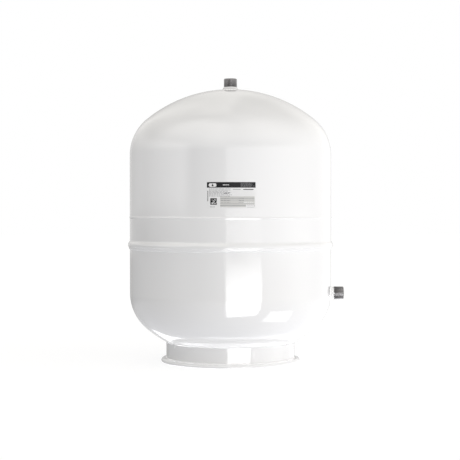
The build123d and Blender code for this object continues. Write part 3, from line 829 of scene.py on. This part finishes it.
def valve_stem_mesh():
    """Shank, hexagon with turned corners, threaded tip and stepped bore."""
    outline = [
        (stem_passage, stem_low.z), (shank_radius - shank_chamfer, stem_low.z),
        (shank_radius, stem_low.z + shank_chamfer), (shank_radius, hex_bottom_z),
        (hex_apothem, hex_bottom_z), (hex_corner, hex_bottom_z + hex_chamfer),
        (hex_corner, hex_top_z - hex_chamfer), (hex_apothem, hex_top_z), (stem_radius, hex_top_z),
    ]

    def flats(angle, index):
        if outline[index][0] < hex_corner:
            return 0.0, 0.0
        off_flat = (angle + math.pi / 6) % (math.pi / 3) - math.pi / 6
        return min(hex_corner, hex_apothem / math.cos(off_flat)) - hex_corner, 0.0

    body = lathe(outline, valve_steps, closed=False, shift=flats)
    thread = thread_skin(hex_top_z, stem_high.z, stem_radius, 25.4 * MM / 32, 0.45 * MM, 0.37 * MM,
                         valve_steps, tip_chamfer)
    bore = lathe([(stem_radius - tip_chamfer, stem_high.z), (stem_bore + 0.2 * MM, stem_high.z),
                  (stem_bore, stem_high.z - 0.2 * MM), (stem_bore, 613 * MM), (stem_passage, 611.5 * MM),
                  (stem_passage, stem_low.z)], valve_steps, closed=False)
    return mesh_from("gas_valve_stem", *joined(body, thread, bore))


add_piece("gas_valve_stem", valve_stem_mesh(), "brass", replaces=["valve_stem"], sharp=28)


def spring_mesh():
    """Wire coiled between the core's shoulder and the pin's collar, with a closed turn at each end."""
    wire = 0.14 * MM
    coil = 0.98 * MM
    turns = 11
    low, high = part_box("valve_spring")
    bottom, height = low.z + wire, high.z - low.z - 2 * wire
    along, around = 28 * turns, 10
    path = []
    for step in range(along + 1):
        part = step / along
        angle = TURN * turns * part
        easing = part - math.sin(TURN * part) * 0.03
        path.append(Vector((coil * math.cos(angle), coil * math.sin(angle), bottom + height * easing)))
    verts, faces = [], []
    for step, point in enumerate(path):
        ahead = (path[min(step + 1, along)] - path[max(step - 1, 0)]).normalized()
        out = Vector((point.x, point.y, 0)).normalized()
        across = ahead.cross(out)
        for side in range(around):
            angle = TURN * side / around
            verts.append(tuple(point + wire * (math.cos(angle) * out + math.sin(angle) * across)))
    for step in range(along):
        for side in range(around):
            this, after = step * around, (side + 1) % around
            faces.append((this + side, this + after, this + around + after, this + around + side))
    faces.append(tuple(range(around)))
    faces.append(tuple(along * around + side for side in range(around)))
    return mesh_from("pin_return_spring", verts, faces, merge=1e-8)


spring = add_piece("pin_return_spring", spring_mesh(), "spring_steel", replaces=["valve_spring"])
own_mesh(spring)


# ---------------------------------------------------------------- water connection

thread_crest = 13.22 * MM
thread_start = 235 * MM
nipple_bore = 10.5 * MM
thread_chamfer = 0.8 * MM
nipple_low, nipple_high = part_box("water_nipple")
connection_steps = 120


def nipple_mesh():
    """Painted neck and bare helical thread; the second material starts at the thread."""
    thread = thread_skin(thread_start, nipple_high.x, thread_crest, 25.4 * MM / 14, 1.1 * MM, 0.78 * MM,
                         connection_steps, thread_chamfer)
    rest = lathe([(thread_crest, thread_start), (nipple_radius - 0.05 * MM, thread_start),
                  (nipple_radius, thread_start - 0.15 * MM), (nipple_radius, nipple_low.x + 0.3 * MM),
                  (nipple_radius - 0.3 * MM, nipple_low.x), (nipple_bore + 0.2 * MM, nipple_low.x),
                  (nipple_bore, nipple_low.x + 0.2 * MM), (nipple_bore, nipple_high.x - 0.4 * MM),
                  (nipple_bore + 0.4 * MM, nipple_high.x), (thread_crest - thread_chamfer, nipple_high.x)],
                 connection_steps, closed=False)
    verts, faces = joined(thread, rest)
    mesh = mesh_from("water_pipe_nipple", laid_along_x(verts), faces)
    mesh.materials.append(finishes["plain_steel"])
    mesh.materials.append(finishes["white_enamel"])
    for face in mesh.polygons:
        out = math.hypot(face.center.y, face.center.z - connection_z)
        face.material_index = 1 if face.center.x < thread_start and out > nipple_radius - 0.2 * MM else 0
    return mesh


add_piece("water_pipe_nipple", nipple_mesh(), "plain_steel", replaces=["water_nipple"], sharp=28)


# ---------------------------------------------------------------- protector caps

cap_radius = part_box("valve_cover")[1].x
cap_steps = 128


def cap_outline(base, length):
    """Half section of a push-on cap: drafted wall, rounded edge, domed end with a gate mark, gripping lip."""
    draft = 0.12 * MM
    edge_round = 1.6 * MM
    dome_rise = 0.7 * MM
    end = 1.2 * MM
    inner = cap_radius - 0.75 * MM
    lip, lip_width = 13.51 * MM, 2.2 * MM
    shoulder = length - dome_rise - edge_round
    rim = cap_radius - draft - edge_round
    gate_radius = 2.4 * MM
    end_radius = (rim**2 + dome_rise**2) / (2 * dome_rise)
    top_turn = math.degrees(math.asin(rim / end_radius))
    gate_turn = math.degrees(math.asin(gate_radius / end_radius))
    gate = [(0, length - 0.12 * MM), (0.5 * MM, length - 0.14 * MM), (0.7 * MM, length - 0.4 * MM),
            (1.9 * MM, length - 0.4 * MM), (2.2 * MM, length - 0.12 * MM)]
    crown = arc((0, length - end_radius), end_radius, 90 - gate_turn, 90 - top_turn, 8)
    edge = arc((rim, shoulder), edge_round, 90, 0, 10)
    ceiling = length - dome_rise - end
    outline = gate + crown + edge[1:]
    outline += [(cap_radius, 0.4 * MM), (cap_radius - 0.2 * MM, 0.06 * MM), (cap_radius - 0.35 * MM, 0)]
    outline += [(lip + 0.2 * MM, 0), (lip, 0.2 * MM), (lip, lip_width), (inner, lip_width + 0.6 * MM)]
    outline += arc((inner - 1 * MM, ceiling - 1 * MM), 1 * MM, 0, 90, 6) + [(0, ceiling)]
    return [(radius, base + height) for radius, height in outline]


def mark_along(piece, axis, mouth, end):
    """Stores how far each point is from the cap's mouth to its closed end, for the plastic's painted shade.
    """
    along = piece.data.attributes.new("towards_end", "FLOAT", "POINT")
    for vertex in piece.data.vertices:
        along.data[vertex.index].value = (vertex.co[axis] - mouth) / (end - mouth)


cover_low, cover_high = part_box("valve_cover")
cover = turned("gas_valve_cap", cap_outline(cover_low.z, cover_high.z - cover_low.z), cap_steps,
               "dark_plastic", body="valve_cap", replaces=["valve_cover"])
mark_along(cover, 2, cover_low.z, cover_high.z)
plug_low, plug_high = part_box("connection_cap")
plug = turned("water_connection_cap", cap_outline(plug_low.x, plug_high.x - plug_low.x), cap_steps,
              "dark_plastic", axis="X", body="water_cap", replaces=["connection_cap"])
mark_along(plug, 0, plug_low.x, plug_high.x)


# ---------------------------------------------------------------- membrane

def membrane_outline():
    """Rim bead, skin behind the clamp ring, hanging bag and its centre pad, as one moulding."""
    skin, skin_bottom_z = 219.5 * MM, 304 * MM
    bag, bag_top_z = 211.5 * MM, 284 * MM
    bag_crown, bag_knuckle = 285 * MM, 92 * MM
    apex_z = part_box("diaphragm_crown")[0].z
    pad, pad_height = 22 * MM, 1.5 * MM
    bead_centre, bead = (220.3 * MM, groove_z), 3.5 * MM
    tangent_z = apex_z + bag_crown - math.sqrt((bag_crown - bag_knuckle) ** 2 - (bag - bag_knuckle) ** 2)

    def side(inset):
        wall = bag - inset
        points = dome(wall, bag_crown - inset, bag_knuckle - inset, tangent_z, -1, steps=(40, 26))
        points += [(wall, tangent_z + (bag_top_z - tangent_z) * part / 16) for part in range(1, 17)]
        return points + ogee((wall, bag_top_z), (skin - inset, skin_bottom_z), 8)[1:]

    outer, inner = side(0), side(rubber)
    top = math.degrees(math.asin(min(1, (bead_centre[0] - (skin - rubber)) / bead)))
    bead_ring = arc(bead_centre, bead, -90 - 8, 90 + 90 + top, 28)
    inner = [(radius, height) for radius, height in inner if radius > pad + 1 * MM]
    pad_top = apex_z + rubber + pad_height
    pad_edge = [(pad + 0.9 * MM, inner[0][1] + 0.02 * MM), (pad + 0.1 * MM, pad_top - 0.4 * MM),
                (pad - 0.5 * MM, pad_top), (0, pad_top)]
    return outer + bead_ring + list(reversed(inner)) + pad_edge


membrane = turned("rubber_membrane", membrane_outline(), shell_steps, "black_rubber", body=None,
                  replaces=["diaphragm", "diaphragm_crown"])
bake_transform(membrane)


# ---------------------------------------------------------------- label

label_low, label_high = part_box("rating_label")
label_width, label_height = label_high.x - label_low.x, label_high.z - label_low.z
cell = 0.5 * MM


def greeked(art, ink, left, right, top, bottom, pitch, height, words=(2.0, 6.5), seed=1):
    """Rows of word-length dashes that stand for text and spell nothing."""
    draw = random.Random(seed)
    line = top
    while line + height <= bottom + 0.01:
        start = left
        stop = right - draw.uniform(0, 0.25) * (right - left)
        while start < stop:
            length = min(draw.uniform(*words), stop - start)
            art.append((ink, start, line, start + length, line + height))
            start += length + 1.0
        line += pitch


def label_art():
    """Printed areas in millimetres from the label's top left corner, later ones on top."""
    art = [(BLACK, 0, 0, 101, 11.5)]
    greeked(art, WHITE, 33, 50, 5.0, 6.5, 2, 1.5, words=(3, 6), seed=2)
    greeked(art, GREY, 70, 98, 1.5, 10.0, 1.5, 0.5, seed=3)
    greeked(art, GREY, 4, 52, 13.5, 29.5, 2.5, 1.0, seed=4)
    art.append((BLACK, 75.5, 14.5, 96.5, 16.0))
    art.append((BLACK, 36, 22.5, 47, 23.5))
    art.append((GREY, 54, 14.5, 70, 15.5))
    for row in range(11):
        art.append((BLACK, 1.0, 18 + 2 * row, 2.5, 19.5 + 2 * row))
    art.append((TABLE, 27.5, 29.5, 99, 52.0))
    for row in range(1, 6):
        line = 29.5 + 3.75 * row
        art.append((GREY, 27.5, line, 99, line + 0.5))
        greeked(art, GREY, 29, 50, line - 2.5, line - 2.0, 2, 0.5, seed=10 + row)
        greeked(art, GREY, 66, 80, line - 2.5, line - 2.0, 2, 0.5, seed=20 + row)
    greeked(art, WHITE, 77, 98, 41.0, 44.0, 1.5, 1.0, seed=8)
    art += [(WHITE, 81, 46.5, 98, 54.0), (GREY, 83, 47.5, 97, 48.0), (GREY, 83, 52.0, 97, 52.5)]
    greeked(art, GREY, 6.5, 19, 51.0, 52.0, 2, 1.0, seed=6)
    draw = random.Random(7)
    modules, module = 9, 1.5
    for row in range(modules):
        for column in range(modules):
            if column == 0 or row == modules - 1 or draw.random() < 0.66:
                left, top = 7 + module * column, 33.5 + module * row
                art.append((BLACK, left, top, left + module, top + module))
    return art


def label_mesh():
    """Film bent to the wall, its face cut in cells that each carry one ink."""
    columns, rows = round(label_width / cell), round(label_height / cell)
    radius = tank_radius + 0.15 * MM
    corner = 1.5
    width, height = columns * cell / MM, rows * cell / MM
    printed = [[WHITE] * columns for row in range(rows)]
    for ink, left, top, right, bottom in label_art():
        for row in range(max(0, round(top * MM / cell)), min(rows, round(bottom * MM / cell))):
            for column in range(max(0, round(left * MM / cell)), min(columns, round(right * MM / cell))):
                printed[row][column] = ink
    emblem = (11.75, 6.2)
    badge_reach, badge_round = 4.2, 3.9
    drop_round, drop_tip, drop_middle = 1.9, -3.0, 0.7
    drop_width, drop_taper = 1.7, 3.6
    for row in range(rows):
        for column in range(columns):
            across = (column + 0.5) * cell / MM - emblem[0]
            down = (row + 0.5) * cell / MM - emblem[1]
            if math.hypot(max(0, abs(across) - badge_reach), down) < badge_round:
                half_width = drop_width * min(1.0, (down - drop_tip) / drop_taper)
                in_bulb = math.hypot(across, down - drop_middle) < drop_round
                in_point = drop_tip < down < drop_middle and abs(across) < half_width
                printed[row][column] = BLACK if in_bulb or in_point else WHITE
    work = bmesh.new()
    grid = []
    for row in range(rows + 1):
        line = []
        for column in range(columns + 1):
            x = label_low.x + label_width * column / columns
            z = label_high.z - label_height * row / rows
            line.append(work.verts.new((x, -math.sqrt(radius**2 - x**2), z)))
        grid.append(line)
    for row in range(rows):
        for column in range(columns):
            across = (column + 0.5) * cell / MM
            down = (row + 0.5) * cell / MM
            past_x = max(corner - across, across - (width - corner), 0)
            past_z = max(corner - down, down - (height - corner), 0)
            if math.hypot(past_x, past_z) > corner:
                continue
            face = work.faces.new((grid[row][column], grid[row + 1][column],
                                   grid[row + 1][column + 1], grid[row][column + 1]))
            face.material_index = printed[row][column]
    bmesh.ops.delete(work, geom=[vert for vert in work.verts if not vert.link_faces], context="VERTS")
    back = bmesh.ops.extrude_face_region(work, geom=work.faces[:], use_keep_orig=True)
    for vert in (item for item in back["geom"] if isinstance(item, bmesh.types.BMVert)):
        scale = (tank_radius + 0.02 * MM) / radius
        vert.co.x, vert.co.y = vert.co.x * scale, vert.co.y * scale
    mesh = bpy.data.meshes.new("printed_label")
    work.to_mesh(mesh)
    work.free()
    for ink in inks:
        mesh.materials.append(ink)
    return mesh


add_piece("printed_label", label_mesh(), "printed_film", replaces=["rating_label"])
